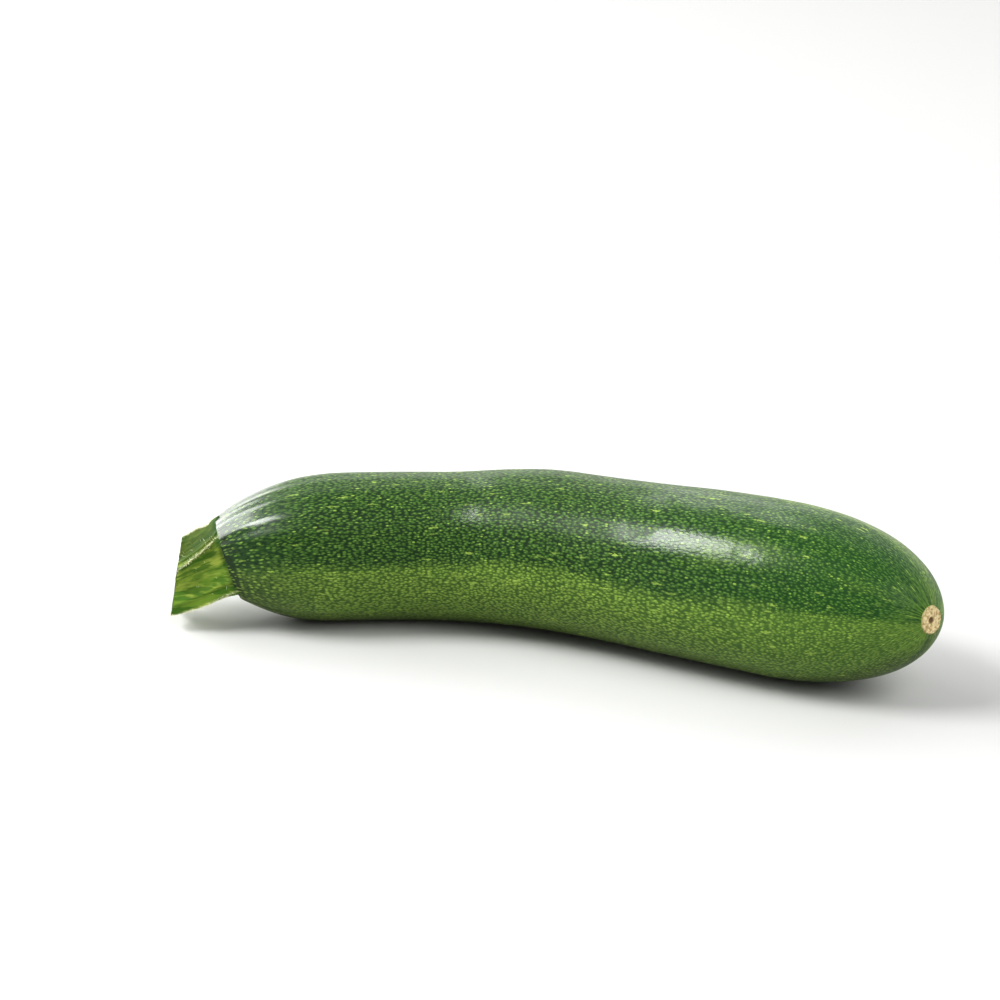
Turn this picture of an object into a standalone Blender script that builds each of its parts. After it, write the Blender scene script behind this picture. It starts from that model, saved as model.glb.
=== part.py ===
"""A courgette as picked, lying on a flat surface.

The fruit lies along X with its cut stem at the -X end and its blossom end at the +X end. It is bowed
in plan, its blossom end curving towards -Y, and its stem droops towards the surface. The surface is
the plane Z = 0, and the part's origin is on it, below the middle of the box around the part.

Three pieces: the fruit, the five-angled stem, and the corky scar where the flower dropped off.
"""

import math

import bmesh
import bpy
import numpy as np
from mathutils import Vector

# The fruit. Lengths run along its curved centreline, from the face that the stem sits on.
FRUIT_LENGTH = 0.198
SEAT_RADIUS = 0.0114  # the flat face under the stem
SHOULDER_LENGTH = 0.034  # from the seat to the full width of the neck
SHOULDER_ROUNDNESS = 2.6  # the power of the shoulder's curve: 1 is a cone
NECK_RADIUS = 0.0199
NECK_END = 0.055  # where the fruit starts to thicken
MIDDLE_RADIUS = 0.0214
MIDDLE_AT = 0.092
BELLY_RADIUS = 0.0229
BELLY_FROM_TIP = 0.050
BLOSSOM_CAP_LENGTH = 0.046  # the rounded blossom end, half of an ellipse

# How the centreline runs, seen from above and from the side
MIDDLE_BEND = math.radians(33.0)
MIDDLE_BEND_START = 0.020
MIDDLE_BEND_LENGTH = 0.095
BLOSSOM_BEND = math.radians(20.0)
BLOSSOM_BEND_LENGTH = 0.048  # up to the tip
STEM_END_DROOP = 0.0020  # how far the shoulder's middle sinks towards the stem
SEAT_LEAN = math.radians(8.0)  # how far the seat faces down, on top of the centreline's own slope
BLOSSOM_TIP_RISE = 0.0035
UNDERSIDE_HOLLOW = 0.0004  # how far the underside curves up between neck and belly
CONTACT_FLAT = 0.0005  # how much of the roundness the fruit's weight takes off where it rests

# The fruit's blunt lengthwise angles
ANGLE_COUNT = 5
ANGLE_HEIGHT = 0.00025

# The stem, five-angled, from the fruit to its cut end
STEM_LENGTH = 0.0146
STEM_WAIST_RADIUS = 0.0103
STEM_CUT_RADIUS = 0.0106
STEM_CUT_CLEARANCE = 0.0020  # below the cut end's circle, down to the surface
STEM_RIBS_AT_CUT = (8.0, 75.0, 148.0, 232.0, 300.0)  # degrees around the cut end, from +Y over the top
STEM_RIBS_AT_BASE = (6.0, 78.0, 123.0, 213.0, 290.0)  # the same ribs where the stem meets the fruit
STEM_GROOVE_DEPTH = 0.0038  # at the cut end, from a rib's crest to the bottom of an even groove
STEM_BASE_GROOVE_DEPTH = 0.0018  # the same where the stem meets the fruit
STEM_EVEN_FACE = 72.0  # degrees between two ribs where all five faces are alike
STEM_CUT_LEAN = math.radians(9.0)  # how far the cut face's top leans towards the fruit
STEM_SEAT_MARGIN = 0.0002  # the seat's edge outside the stem's base

# The blossom scar, a disc of cork in a shallow dimple
SCAR_RADIUS = 0.0036
SCAR_THICKNESS = 0.0013
SCAR_DOME = 0.0004
SCAR_PIT_DEPTH = 0.0006
DIMPLE_DEPTH = 0.0011

FIT_GAP = 0.0003  # between pieces that touch

# How finely the round surfaces are divided
FRUIT_SIDES = 48
BODY_RING_SPACING = 0.0034
CAP_RINGS = 15
CENTRELINE_STEPS = 400
STEM_SIDES = 90
STEM_RINGS = 9
SCAR_SIDES = 24
SHARP_EDGE_ANGLE = math.radians(35.0)

BLOSSOM_CAP_START = FRUIT_LENGTH - BLOSSOM_CAP_LENGTH
BELLY_AT = FRUIT_LENGTH - BELLY_FROM_TIP
DIMPLE_RADIUS = SCAR_RADIUS + FIT_GAP
STEM_BASE_RADIUS = SEAT_RADIUS - STEM_SEAT_MARGIN


def smooth_rise(position, start, end):
    """0 up to start, 1 from end on, and an S-shaped rise between them."""
    share = np.clip((position - start) / (end - start), 0.0, 1.0)
    return share * share * (3.0 - 2.0 * share)


def body_radius(along):
    """The fruit's radius without its two rounded ends: neck, middle, then belly."""
    to_middle = (MIDDLE_RADIUS - NECK_RADIUS) * smooth_rise(along, NECK_END, MIDDLE_AT)
    to_belly = (BELLY_RADIUS - MIDDLE_RADIUS) * smooth_rise(along, MIDDLE_AT, BELLY_AT)
    return NECK_RADIUS + to_middle + to_belly


def shoulder_fall(along):
    """1 at the stem's seat, falling in the shoulder's curve to 0 at the neck."""
    return np.clip(1.0 - along / SHOULDER_LENGTH, 0.0, 1.0) ** SHOULDER_ROUNDNESS


def into_cap(along):
    """0 up to the blossom cap, then rising to 1 at the tip."""
    return np.clip((along - BLOSSOM_CAP_START) / BLOSSOM_CAP_LENGTH, 0.0, 1.0)


def fruit_radius(along):
    """The fruit's radius, with its rounded shoulder and its elliptical blossom cap."""
    shoulder_step = (NECK_RADIUS - SEAT_RADIUS) * shoulder_fall(along)
    return (body_radius(along) - shoulder_step) * np.sqrt(1.0 - into_cap(along) ** 2)


def centre_height(along):
    """How high the centreline runs, so that neck and belly both rest on the surface."""
    hollow_share = np.clip((along - SHOULDER_LENGTH) / (BELLY_AT - SHOULDER_LENGTH), 0.0, 1.0)
    hollow = UNDERSIDE_HOLLOW * np.sin(math.pi * hollow_share) ** 2
    droop = STEM_END_DROOP * shoulder_fall(along)
    rise = BLOSSOM_TIP_RISE * into_cap(along) ** 2
    return body_radius(along) - CONTACT_FLAT + hollow - droop + rise


def fruit_centreline():
    """The centreline's points, with the line between its two ends turned onto the X axis."""
    along = np.linspace(0.0, FRUIT_LENGTH, CENTRELINE_STEPS + 1)
    middle_bend_end = MIDDLE_BEND_START + MIDDLE_BEND_LENGTH
    turn = MIDDLE_BEND * smooth_rise(along, MIDDLE_BEND_START, middle_bend_end)
    turn += BLOSSOM_BEND * smooth_rise(along, FRUIT_LENGTH - BLOSSOM_BEND_LENGTH, FRUIT_LENGTH)
    step_turn = (turn[1:] + turn[:-1]) / 2.0
    step = FRUIT_LENGTH / CENTRELINE_STEPS
    x = np.append(0.0, np.cumsum(np.cos(step_turn))) * step
    y = np.append(0.0, np.cumsum(-np.sin(step_turn))) * step
    chord = math.atan2(y[-1], x[-1])
    plan_x = x * math.cos(chord) + y * math.sin(chord)
    plan_y = y * math.cos(chord) - x * math.sin(chord)
    return along, np.column_stack([plan_x, plan_y, centre_height(along)])


ALONG, CENTRELINE = fruit_centreline()


def centre_and_axes(along):
    """A point of the centreline with its section's forward axis, level side axis and up axis."""
    nudge = FRUIT_LENGTH / CENTRELINE_STEPS
    here, before, after = (
        Vector([np.interp(place, ALONG, CENTRELINE[:, axis]) for axis in range(3)])
        for place in (along, max(along - nudge, 0.0), min(along + nudge, FRUIT_LENGTH))
    )
    direction = (after - before).normalized()
    side = Vector((-direction.y, direction.x, 0.0)).normalized()
    lean = SEAT_LEAN * shoulder_fall(along)
    direction = math.cos(lean) * direction + math.sin(lean) * direction.cross(side)
    return here, direction, side, direction.cross(side)


def ring_points(centre, side, up, radii):
    """Points around a centre, from the side axis over the up axis, one for each radius."""
    points = []
    for index, radius in enumerate(radii):
        angle = 2.0 * math.pi * index / len(radii)
        points.append(centre + radius * (math.cos(angle) * side + math.sin(angle) * up))
    return points


def lofted_object(name, rings, material, parent):
    """A closed body through rings of points, with a flat face over its first and its last ring."""
    mesh = bpy.data.meshes.new(name)
    body = bmesh.new()
    loops = [[body.verts.new(point) for point in ring] for ring in rings]
    for first, second in zip(loops, loops[1:]):
        for index in range(len(first)):
            following = (index + 1) % len(first)
            body.faces.new((first[index], first[following], second[following], second[index]))
    body.faces.new(loops[0])
    body.faces.new(loops[-1])
    bmesh.ops.recalc_face_normals(body, faces=body.faces)
    body.to_mesh(mesh)
    body.free()
    mesh.shade_smooth()
    mesh.set_sharp_from_angle(angle=SHARP_EDGE_ANGLE)
    mesh.materials.append(material)
    piece = bpy.data.objects.new(name, mesh)
    bpy.context.scene.collection.objects.link(piece)
    piece.parent = parent
    return piece


def plain_material(name, colour, roughness):
    """A non-metallic material in one colour, given as linear red, green and blue."""
    material = bpy.data.materials.new(name)
    material.use_nodes = True
    shader = material.node_tree.nodes["Principled BSDF"]
    shader.inputs["Base Color"].default_value = (*colour, 1.0)
    shader.inputs["Roughness"].default_value = roughness
    shader.inputs["Metallic"].default_value = 0.0
    return material


def fruit_section(radius):
    """Radii around the fruit: nearly round, with a blunt angle at the bottom and four more."""
    radii = []
    for index in range(FRUIT_SIDES):
        angle = 2.0 * math.pi * index / FRUIT_SIDES
        swell = math.cos(ANGLE_COUNT * (angle + math.pi / 2.0))
        fade = min(radius / NECK_RADIUS, 1.0) ** 2
        radii.append(radius + ANGLE_HEIGHT * fade * swell)
    return radii


def fruit_stations():
    """Where the fruit's rings are: evenly over the body, then by equal angles around the cap."""
    body_rings = math.ceil(BLOSSOM_CAP_START / BODY_RING_SPACING)
    stations = list(np.linspace(0.0, BLOSSOM_CAP_START, body_rings, endpoint=False))
    last_angle = math.acos(DIMPLE_RADIUS / body_radius(FRUIT_LENGTH))
    for cap_angle in np.linspace(0.0, last_angle, CAP_RINGS):
        stations.append(BLOSSOM_CAP_START + BLOSSOM_CAP_LENGTH * math.sin(cap_angle))
    return stations


def make_fruit(parent):
    """The fruit, flattened a little where it rests, with a dimple at its tip for the scar."""
    rings = []
    for along in fruit_stations():
        centre, _, side, up = centre_and_axes(along)
        rings.append(ring_points(centre, side, up, fruit_section(float(fruit_radius(along)))))
    rim_centre, direction, side, up = centre_and_axes(fruit_stations()[-1])
    dimple_floor = rim_centre - DIMPLE_DEPTH * direction
    rings.append(ring_points(dimple_floor, side, up, [DIMPLE_RADIUS] * FRUIT_SIDES))
    for ring in rings:
        for point in ring:
            point.z = max(point.z, 0.0)
    skin = plain_material("waxy_green_skin", (0.028, 0.085, 0.012), 0.35)
    return lofted_object("fruit", rings, skin, parent)


def make_blossom_scar(parent):
    """A low dome of cork with a pit in its middle, a fit gap clear of its dimple all round."""
    rim_centre, direction, side, up = centre_and_axes(fruit_stations()[-1])
    back = FIT_GAP - DIMPLE_DEPTH
    front = back + SCAR_THICKNESS
    outline = (
        (SCAR_RADIUS * 0.94, back),
        (SCAR_RADIUS, back + SCAR_THICKNESS * 0.3),
        (SCAR_RADIUS, front - SCAR_DOME),
        (SCAR_RADIUS * 0.80, front),
        (SCAR_RADIUS * 0.48, front - SCAR_PIT_DEPTH * 0.25),
        (SCAR_RADIUS * 0.24, front - SCAR_PIT_DEPTH),
    )
    rings = [
        ring_points(rim_centre + height * direction, side, up, [radius] * SCAR_SIDES)
        for radius, height in outline
    ]
    cork = plain_material("dry_cork", (0.42, 0.27, 0.13), 0.85)
    return lofted_object("blossom_scar", rings, cork, parent)


def groove_share(angle, ribs):
    """How hollow the stem is at an angle: 0 on a rib, most in the middle of a wide face."""
    for rib, following in zip(ribs, ribs[1:] + (ribs[0] + 360.0,)):
        past_rib = (angle - rib) % 360.0
        if past_rib <= following - rib:
            width = following - rib
            return math.sin(math.pi * past_rib / width) ** 2 * (width / STEM_EVEN_FACE) ** 0.7
    return 0.0


def stem_section(share):
    """Radii around the stem, share of the way from the fruit (0) to the cut end (1)."""
    swell = (2.0 * share - 1.0) ** 2
    end_radius = STEM_BASE_RADIUS if share < 0.5 else STEM_CUT_RADIUS
    crest = STEM_WAIST_RADIUS + (end_radius - STEM_WAIST_RADIUS) * swell
    groove = STEM_BASE_GROOVE_DEPTH + (STEM_GROOVE_DEPTH - STEM_BASE_GROOVE_DEPTH) * share
    ends = zip(STEM_RIBS_AT_BASE, STEM_RIBS_AT_CUT)
    ribs = tuple(base + (cut - base) * share for base, cut in ends)
    hollows = [groove_share(360.0 * index / STEM_SIDES, ribs) for index in range(STEM_SIDES)]
    return [crest - groove * hollow for hollow in hollows]


def make_stem(parent):
    """The stem, bending down from its seat until its cut end stands just clear of the surface."""
    seat, direction, side, seat_up = centre_and_axes(0.0)
    inward = Vector((direction.x, direction.y, 0.0)).normalized()
    base = seat - FIT_GAP * direction
    drop = base.z - STEM_CUT_RADIUS - STEM_CUT_CLEARANCE
    level = math.sqrt(STEM_LENGTH**2 - drop**2)
    end = base - level * inward - Vector((0.0, 0.0, drop))
    knee = base - STEM_LENGTH / 2.0 * direction
    cut_up = Vector((0.0, 0.0, math.cos(STEM_CUT_LEAN))) + math.sin(STEM_CUT_LEAN) * inward
    rings = []
    for ring in range(STEM_RINGS):
        share = ring / (STEM_RINGS - 1)
        centre = (1.0 - share) ** 2 * base + 2.0 * share * (1.0 - share) * knee + share**2 * end
        up = seat_up.lerp(cut_up, share).normalized()
        rings.append(ring_points(centre, side, up, stem_section(share)))
    rind = plain_material("pale_green_stem", (0.17, 0.30, 0.04), 0.6)
    return lofted_object("stem", rings, rind, parent)


def centre_over_origin(handle, pieces):
    """Moves the handle so that the box around the pieces is centred over the origin."""
    corners = [vertex.co for piece in pieces for vertex in piece.data.vertices]
    for axis in range(2):
        places = [corner[axis] for corner in corners]
        handle.location[axis] = -(min(places) + max(places)) / 2.0


def main():
    for leftover in list(bpy.data.objects):
        bpy.data.objects.remove(leftover, do_unlink=True)
    handle = bpy.data.objects.new("courgette", None)
    bpy.context.scene.collection.objects.link(handle)
    pieces = [make_fruit(handle), make_stem(handle), make_blossom_scar(handle)]
    centre_over_origin(handle, pieces)


main()
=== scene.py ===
# %% [markdown]
# # A fresh courgette, lying on its side
#
# This lesson dresses a courgette that is already measured and packed as a plain solid model. The
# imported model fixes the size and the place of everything. Each solid is then replaced by a finer
# piece on the same curves: the waxy fruit, its five-angled stem, and the corky scar at its tip.

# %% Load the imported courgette
import math

import bpy
import numpy as np
from mathutils import Matrix, Vector, noise


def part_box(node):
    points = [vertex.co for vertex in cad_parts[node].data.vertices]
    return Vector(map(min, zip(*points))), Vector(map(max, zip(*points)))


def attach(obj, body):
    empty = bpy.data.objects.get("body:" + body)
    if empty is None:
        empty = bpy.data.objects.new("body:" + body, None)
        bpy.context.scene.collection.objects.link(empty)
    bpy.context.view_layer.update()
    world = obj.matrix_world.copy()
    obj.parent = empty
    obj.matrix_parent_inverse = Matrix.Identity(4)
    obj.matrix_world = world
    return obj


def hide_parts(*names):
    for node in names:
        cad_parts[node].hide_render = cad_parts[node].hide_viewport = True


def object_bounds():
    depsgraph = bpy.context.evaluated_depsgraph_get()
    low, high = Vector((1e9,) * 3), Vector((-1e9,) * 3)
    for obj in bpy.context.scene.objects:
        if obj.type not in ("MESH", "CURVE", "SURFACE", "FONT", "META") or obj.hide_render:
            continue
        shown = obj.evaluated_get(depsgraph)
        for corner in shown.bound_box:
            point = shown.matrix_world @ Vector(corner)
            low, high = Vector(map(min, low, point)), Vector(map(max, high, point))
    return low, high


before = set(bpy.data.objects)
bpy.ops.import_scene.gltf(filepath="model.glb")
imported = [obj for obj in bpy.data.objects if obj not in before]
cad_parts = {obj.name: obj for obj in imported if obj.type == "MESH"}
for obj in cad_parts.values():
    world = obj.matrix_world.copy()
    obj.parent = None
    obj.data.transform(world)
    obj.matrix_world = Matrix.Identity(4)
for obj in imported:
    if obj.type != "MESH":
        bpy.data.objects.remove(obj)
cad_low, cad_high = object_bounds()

box_centre = (cad_low + cad_high) / 2
print("courgette box in mm:", [round(side * 1000, 1) for side in cad_high - cad_low])

# %% [markdown]
# ## The shape of the fruit
#
# A courgette swells from a narrow neck under the stem to a fuller belly, and its blossom end closes
# like half an egg. It could be sculpted by hand, but a few smooth curves of the distance along its
# middle line say the same thing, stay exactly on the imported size, and can be asked for any fineness.

# %% Curves along the middle line
FRUIT_LENGTH = 0.198  # along the curved middle line, in metres
SEAT_RADIUS = 0.0114  # the flat end face that carries the stem
SHOULDER_LENGTH, SHOULDER_ROUNDNESS = 0.034, 2.6
NECK_RADIUS, NECK_END = 0.0199, 0.055
MIDDLE_RADIUS, MIDDLE_AT = 0.0214, 0.092
BELLY_RADIUS, BELLY_AT = 0.0229, 0.148
CAP_LENGTH = 0.046  # the rounded blossom end
CAP_START = FRUIT_LENGTH - CAP_LENGTH


def smooth_rise(place, start, end):
    """0 up to start, 1 from end on, with an S-shaped rise between them."""
    share = np.clip((place - start) / (end - start), 0.0, 1.0)
    return share * share * (3.0 - 2.0 * share)


def body_radius(along):
    """The fruit's radius without its two rounded ends."""
    to_middle = (MIDDLE_RADIUS - NECK_RADIUS) * smooth_rise(along, NECK_END, MIDDLE_AT)
    to_belly = (BELLY_RADIUS - MIDDLE_RADIUS) * smooth_rise(along, MIDDLE_AT, BELLY_AT)
    return NECK_RADIUS + to_middle + to_belly


def shoulder_fall(along):
    """1 at the stem, falling to 0 where the shoulder reaches the neck's full width."""
    return np.clip(1.0 - along / SHOULDER_LENGTH, 0.0, 1.0) ** SHOULDER_ROUNDNESS


def into_cap(along):
    """0 up to the blossom cap, rising to 1 at the tip."""
    return np.clip((along - CAP_START) / CAP_LENGTH, 0.0, 1.0)


def fruit_radius(along):
    """The whole radius, with the shoulder and the cap."""
    narrowed = body_radius(along) - (NECK_RADIUS - SEAT_RADIUS) * shoulder_fall(along)
    return narrowed * np.sqrt(1.0 - into_cap(along) ** 2)


shown = [round(float(fruit_radius(place)) * 1000, 1) for place in (0.04, MIDDLE_AT, BELLY_AT)]
print("radius in mm at neck, middle and belly:", shown)

# %% [markdown]
# The fruit is bowed, because it grew faster on one side. The middle line turns by a given angle over
# a given length, first in the middle and again before the tip, and adding up small steps gives the
# curve. Its height is the radius, so the neck and the belly both rest on the floor.

# %% The middle line and its axes
MIDDLE_BEND, MIDDLE_BEND_FROM, MIDDLE_BEND_TO = math.radians(33.0), 0.020, 0.115
BLOSSOM_BEND, BLOSSOM_BEND_FROM = math.radians(20.0), FRUIT_LENGTH - 0.048
STEM_END_DROOP, SEAT_LEAN = 0.0020, math.radians(8.0)
TIP_RISE, UNDERSIDE_HOLLOW, CONTACT_FLAT = 0.0035, 0.0004, 0.0005
LINE_STEPS = 400


def middle_line():
    """Distances along the middle line, and its points, with the line between its ends on X."""
    along = np.linspace(0.0, FRUIT_LENGTH, LINE_STEPS + 1)
    turn = MIDDLE_BEND * smooth_rise(along, MIDDLE_BEND_FROM, MIDDLE_BEND_TO)
    turn += BLOSSOM_BEND * smooth_rise(along, BLOSSOM_BEND_FROM, FRUIT_LENGTH)
    mid_turn = (turn[1:] + turn[:-1]) / 2.0
    x = np.append(0.0, np.cumsum(np.cos(mid_turn))) * FRUIT_LENGTH / LINE_STEPS
    y = np.append(0.0, np.cumsum(-np.sin(mid_turn))) * FRUIT_LENGTH / LINE_STEPS
    chord = math.atan2(y[-1], x[-1])
    hollow_share = np.clip((along - SHOULDER_LENGTH) / (BELLY_AT - SHOULDER_LENGTH), 0.0, 1.0)
    height = body_radius(along) - CONTACT_FLAT + UNDERSIDE_HOLLOW * np.sin(math.pi * hollow_share) ** 2
    height += TIP_RISE * into_cap(along) ** 2 - STEM_END_DROOP * shoulder_fall(along)
    turned_x = x * math.cos(chord) + y * math.sin(chord)
    turned_y = y * math.cos(chord) - x * math.sin(chord)
    return along, np.column_stack([turned_x, turned_y, height])


LINE_ALONG, LINE_POINTS = middle_line()


def unit(vectors):
    """Vectors scaled to length 1."""
    return vectors / np.linalg.norm(vectors, axis=-1, keepdims=True)


def axes_along(along):
    """For each distance along: the middle point, forward, level side and up, as rows."""
    along = np.atleast_1d(along)
    nudge = FRUIT_LENGTH / LINE_STEPS
    here, before, after = (
        np.column_stack([np.interp(place, LINE_ALONG, LINE_POINTS[:, axis]) for axis in range(3)])
        for place in (along, np.maximum(along - nudge, 0.0), np.minimum(along + nudge, FRUIT_LENGTH))
    )
    forward = unit(after - before)
    side = unit(np.column_stack([-forward[:, 1], forward[:, 0], np.zeros(len(along))]))
    lean = (SEAT_LEAN * shoulder_fall(along))[:, None]
    forward = np.cos(lean) * forward + np.sin(lean) * np.cross(forward, side)
    return here, forward, side, np.cross(forward, side)


def ring_grid(centres, side, up, radii, angles):
    """Points of many rings at once: one row per ring, one column per angle from side over up."""
    outward = np.cos(angles)[None, :, None] * side[:, None, :]
    outward = outward + np.sin(angles)[None, :, None] * up[:, None, :]
    return centres[:, None, :] + radii[:, :, None] * outward


print("the bow, from end to end:", round(math.degrees(MIDDLE_BEND + BLOSSOM_BEND)), "degrees")

# %% [markdown]
# ## One mesh helper
#
# Every piece here is a closed skin over rings of points. One helper lofts it, closes both ends, and
# lays a UV map once around and once along, so that a pattern can be placed in rows.

# %% Loft a closed skin
UV_MARGIN = 0.02  # the strip of the UV map kept for the two end fans


def lofted_piece(name, rings, shares, sharp_degrees=60.0):
    """A closed object over rings (ring, point, xyz). Shares run from 0 to 1 along the rings."""
    count, around = rings.shape[:2]
    index = np.arange(count * around).reshape(count, around)
    beside = np.roll(index, -1, axis=1)
    quads = np.stack([index[:-1], beside[:-1], beside[1:], index[1:]], axis=-1).reshape(-1, 4)
    ends = np.full(around, count * around)
    first_fan = np.stack([beside[0], index[0], ends], -1)
    last_fan = np.stack([index[-1], beside[-1], ends + 1], -1)
    fans = np.vstack([first_fan, last_fan])
    vertices = np.vstack([rings.reshape(-1, 3), rings[0].mean(axis=0), rings[-1].mean(axis=0)])
    mesh = bpy.data.meshes.new(name)
    mesh.from_pydata(vertices.tolist(), [], quads.tolist() + fans.tolist())
    turn = np.arange(around) / around
    step = 1.0 / around
    rise = UV_MARGIN + (1.0 - 2.0 * UV_MARGIN) * np.asarray(shares)
    quad_u = np.tile(np.stack([turn, turn + step, turn + step, turn], -1), (count - 1, 1, 1))
    quad_v = np.stack([rise[:-1], rise[:-1], rise[1:], rise[1:]], -1)
    quad_v = np.repeat(quad_v[:, None, :], around, axis=1)
    middle = turn + step / 2
    fan_u = np.stack([[turn + step, turn, middle], [turn, turn + step, middle]]).transpose(0, 2, 1)
    fan_v = np.repeat([[rise[0], rise[0], 0.0], [rise[-1], rise[-1], 1.0]], around, axis=0)
    u, v = np.append(quad_u.ravel(), fan_u.ravel()), np.append(quad_v.ravel(), fan_v.ravel())
    uv = np.column_stack([u, v])
    mesh.uv_layers.new(name="OFBake").data.foreach_set("uv", uv.ravel())
    mesh.shade_smooth()
    mesh.set_sharp_from_angle(angle=math.radians(sharp_degrees))
    piece = bpy.data.objects.new(name, mesh)
    bpy.context.scene.collection.objects.link(piece)
    return piece


def store(piece, name, values):
    """Keeps one number or one vector per ring point on the mesh, with the end points' means."""
    values = np.asarray(values, dtype=float)
    width = values.shape[2] if values.ndim == 3 else 1
    rows = values.reshape(values.shape[0], values.shape[1], width)
    flat = np.vstack([rows.reshape(-1, width), rows[0].mean(axis=0), rows[-1].mean(axis=0)])
    kind, field = ("FLOAT_VECTOR", "vector") if width == 3 else ("FLOAT", "value")
    piece.data.attributes.new(name, kind, "POINT").data.foreach_set(field, flat.ravel())


def over_rings(values, rings, around):
    """The same values for every ring, or for every point of a ring."""
    return np.broadcast_to(values, (rings, around))


def lengths_along(rings):
    """How far each ring is from the first, measured over the surface."""
    steps = np.linalg.norm(np.diff(rings, axis=0), axis=-1).mean(axis=1)
    return np.append(0.0, np.cumsum(steps))


def field_noise(points, size, seed):
    """Smooth noise from -1 to 1 with blobs of one size in metres, the same on every run."""
    shift = Vector((seed * 7.3, seed * 3.1, seed * 5.7))
    flat = points.reshape(-1, 3) / size
    return np.array([noise.noise(Vector(point) + shift) for point in flat]).reshape(points.shape[:-1])


sample = field_noise(np.linspace(0.0, 0.01, 30).reshape(-1, 3), 0.003, 1)
print("noise over a centimetre, lowest and highest:", round(sample.min(), 2), round(sample.max(), 2))

# %% [markdown]
# ## The fruit's skin
#
# The real skin is not a smooth tube: five blunt angles run its length, shallow furrows gather
# towards the stem, and slow swellings come from uneven growth. These are big enough to bend the
# reflections, so they are real relief in the mesh. The finest grain is left to the material.

# %% Rings of the fruit
AROUND = 280
RING_SPACING = 0.00062
CAP_RINGS = 84
SCAR_BED_RADIUS = 0.0034  # where the skin ends under the rim of the blossom scar

cap_angles = np.linspace(0.0, math.acos(SCAR_BED_RADIUS / BELLY_RADIUS), CAP_RINGS)
cap_stations = CAP_START + CAP_LENGTH * np.sin(cap_angles)
stations = np.append(np.arange(0.0, CAP_START, RING_SPACING), cap_stations)
# The first point of each ring is at the very bottom, which hides where the rows start and end
angles = -math.pi / 2.0 + 2.0 * math.pi * np.arange(AROUND) / AROUND
radii = fruit_radius(stations)
surface_length = np.append(0.0, np.cumsum(np.hypot(np.diff(stations), np.diff(radii))))
turn_point = np.stack([np.cos(angles), np.sin(angles)], -1)
skin_position = np.concatenate(
    [
        np.broadcast_to(MIDDLE_RADIUS * turn_point, (len(stations), AROUND, 2)),
        np.broadcast_to(surface_length[:, None, None], (len(stations), AROUND, 1)),
    ],
    axis=-1,
)
print("rings:", len(stations), "skin length in mm:", round(surface_length[-1] * 1000, 1))

# %% Relief of the skin
ANGLE_HEIGHT, GROWTH_HEIGHT, LUMP_HEIGHT = 0.00025, 0.00022, 0.00005
GRAIN_HEIGHT = 0.000014
FURROW_DEPTH, FURROW_BY_STEM, FURROW_BY_TIP = 0.00003, 0.00016, 0.00005
five_angles = np.cos(5.0 * (angles + math.pi / 2.0))[None, :]
fade = np.minimum(radii / NECK_RADIUS, 1.0)[:, None] ** 2
near_stem = np.exp(-surface_length / 0.016)[:, None]
near_tip = np.exp(-(surface_length[-1] - surface_length) / 0.012)[:, None]

growth = field_noise(skin_position * (1.0, 1.0, 0.45), 0.017, 1)
lumps = field_noise(skin_position * (1.0, 1.0, 0.6), 0.0065, 2)
grain = field_noise(skin_position * (1.0, 1.0, 0.45), 0.0021, 3)
wander = field_noise(skin_position * (1.0, 1.0, 0.3), 0.012, 4)
furrows = np.cos(20.0 * (angles[None, :] + math.pi / 2.0) + 2.2 * wander)

relief = ANGLE_HEIGHT * fade * five_angles * (1.0 + 1.6 * near_stem)
relief += fade * (GROWTH_HEIGHT * growth + LUMP_HEIGHT * lumps) + GRAIN_HEIGHT * grain
depths = FURROW_DEPTH + FURROW_BY_STEM * near_stem + FURROW_BY_TIP * near_tip
relief += furrows * depths * fade

centres, forward, side, up = axes_along(stations)
skin_rings = ring_grid(centres, side, up, radii[:, None] + relief, angles)
print("relief in mm, lowest and highest:", round(relief.min() * 1000, 2), round(relief.max() * 1000, 2))

# %% [markdown]
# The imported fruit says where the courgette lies. The formulas start from the stem's seat, so the
# whole shape is moved until its smooth body fills the same box, and nothing goes below the floor.

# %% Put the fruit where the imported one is
plain_rings = ring_grid(centres, side, up, radii[:, None] + ANGLE_HEIGHT * fade * five_angles, angles)
fruit_low, fruit_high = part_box("fruit")
packed_middle = (np.array(fruit_low) + np.array(fruit_high)) / 2.0
plain_points = plain_rings.reshape(-1, 3)
made_middle = (plain_points.min(axis=0) + plain_points.max(axis=0)) / 2.0
PLACE = np.array([packed_middle[0] - made_middle[0], packed_middle[1] - made_middle[1], 0.0])

# Two more rings sink under the scar, so that the skin has no open edge
BED_RADII, BED_DEPTHS = np.array([SCAR_BED_RADIUS, 0.0030]), np.array([0.0004, 0.0010])
bed_radii = BED_RADII[:, None] * np.ones(AROUND)
bed_centres = centres[-1] - BED_DEPTHS[:, None] * forward[-1]
bed_side, bed_up = np.repeat(side[-1:], 2, axis=0), np.repeat(up[-1:], 2, axis=0)
bed_rings = ring_grid(bed_centres, bed_side, bed_up, bed_radii, angles)
skin_rings = np.concatenate([skin_rings, bed_rings]) + PLACE

# Skin that would dip below the floor is eased up into the flat it rests on
EASED = 0.0004
lift = skin_rings[:, :, 2]
eased = EASED * np.exp(np.minimum(lift / EASED - 1.0, 0.0))
skin_rings[:, :, 2] = np.where(lift < EASED, eased, lift)
skin_lengths = np.append(surface_length, surface_length[-1] + np.array([0.0005, 0.0012]))
fruit = lofted_piece("courgette_fruit", skin_rings, skin_lengths / skin_lengths[-1])
print("moved by mm:", np.round(PLACE * 1000, 2), "faces:", len(fruit.data.polygons))

# %% Keep the skin's own coordinates on it
skin_position = np.concatenate([skin_position, skin_position[-1:], skin_position[-1:]])
skin_position[-2:, :, 2] = skin_lengths[-2:, None]
store(fruit, "skin_position", skin_position)


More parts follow.
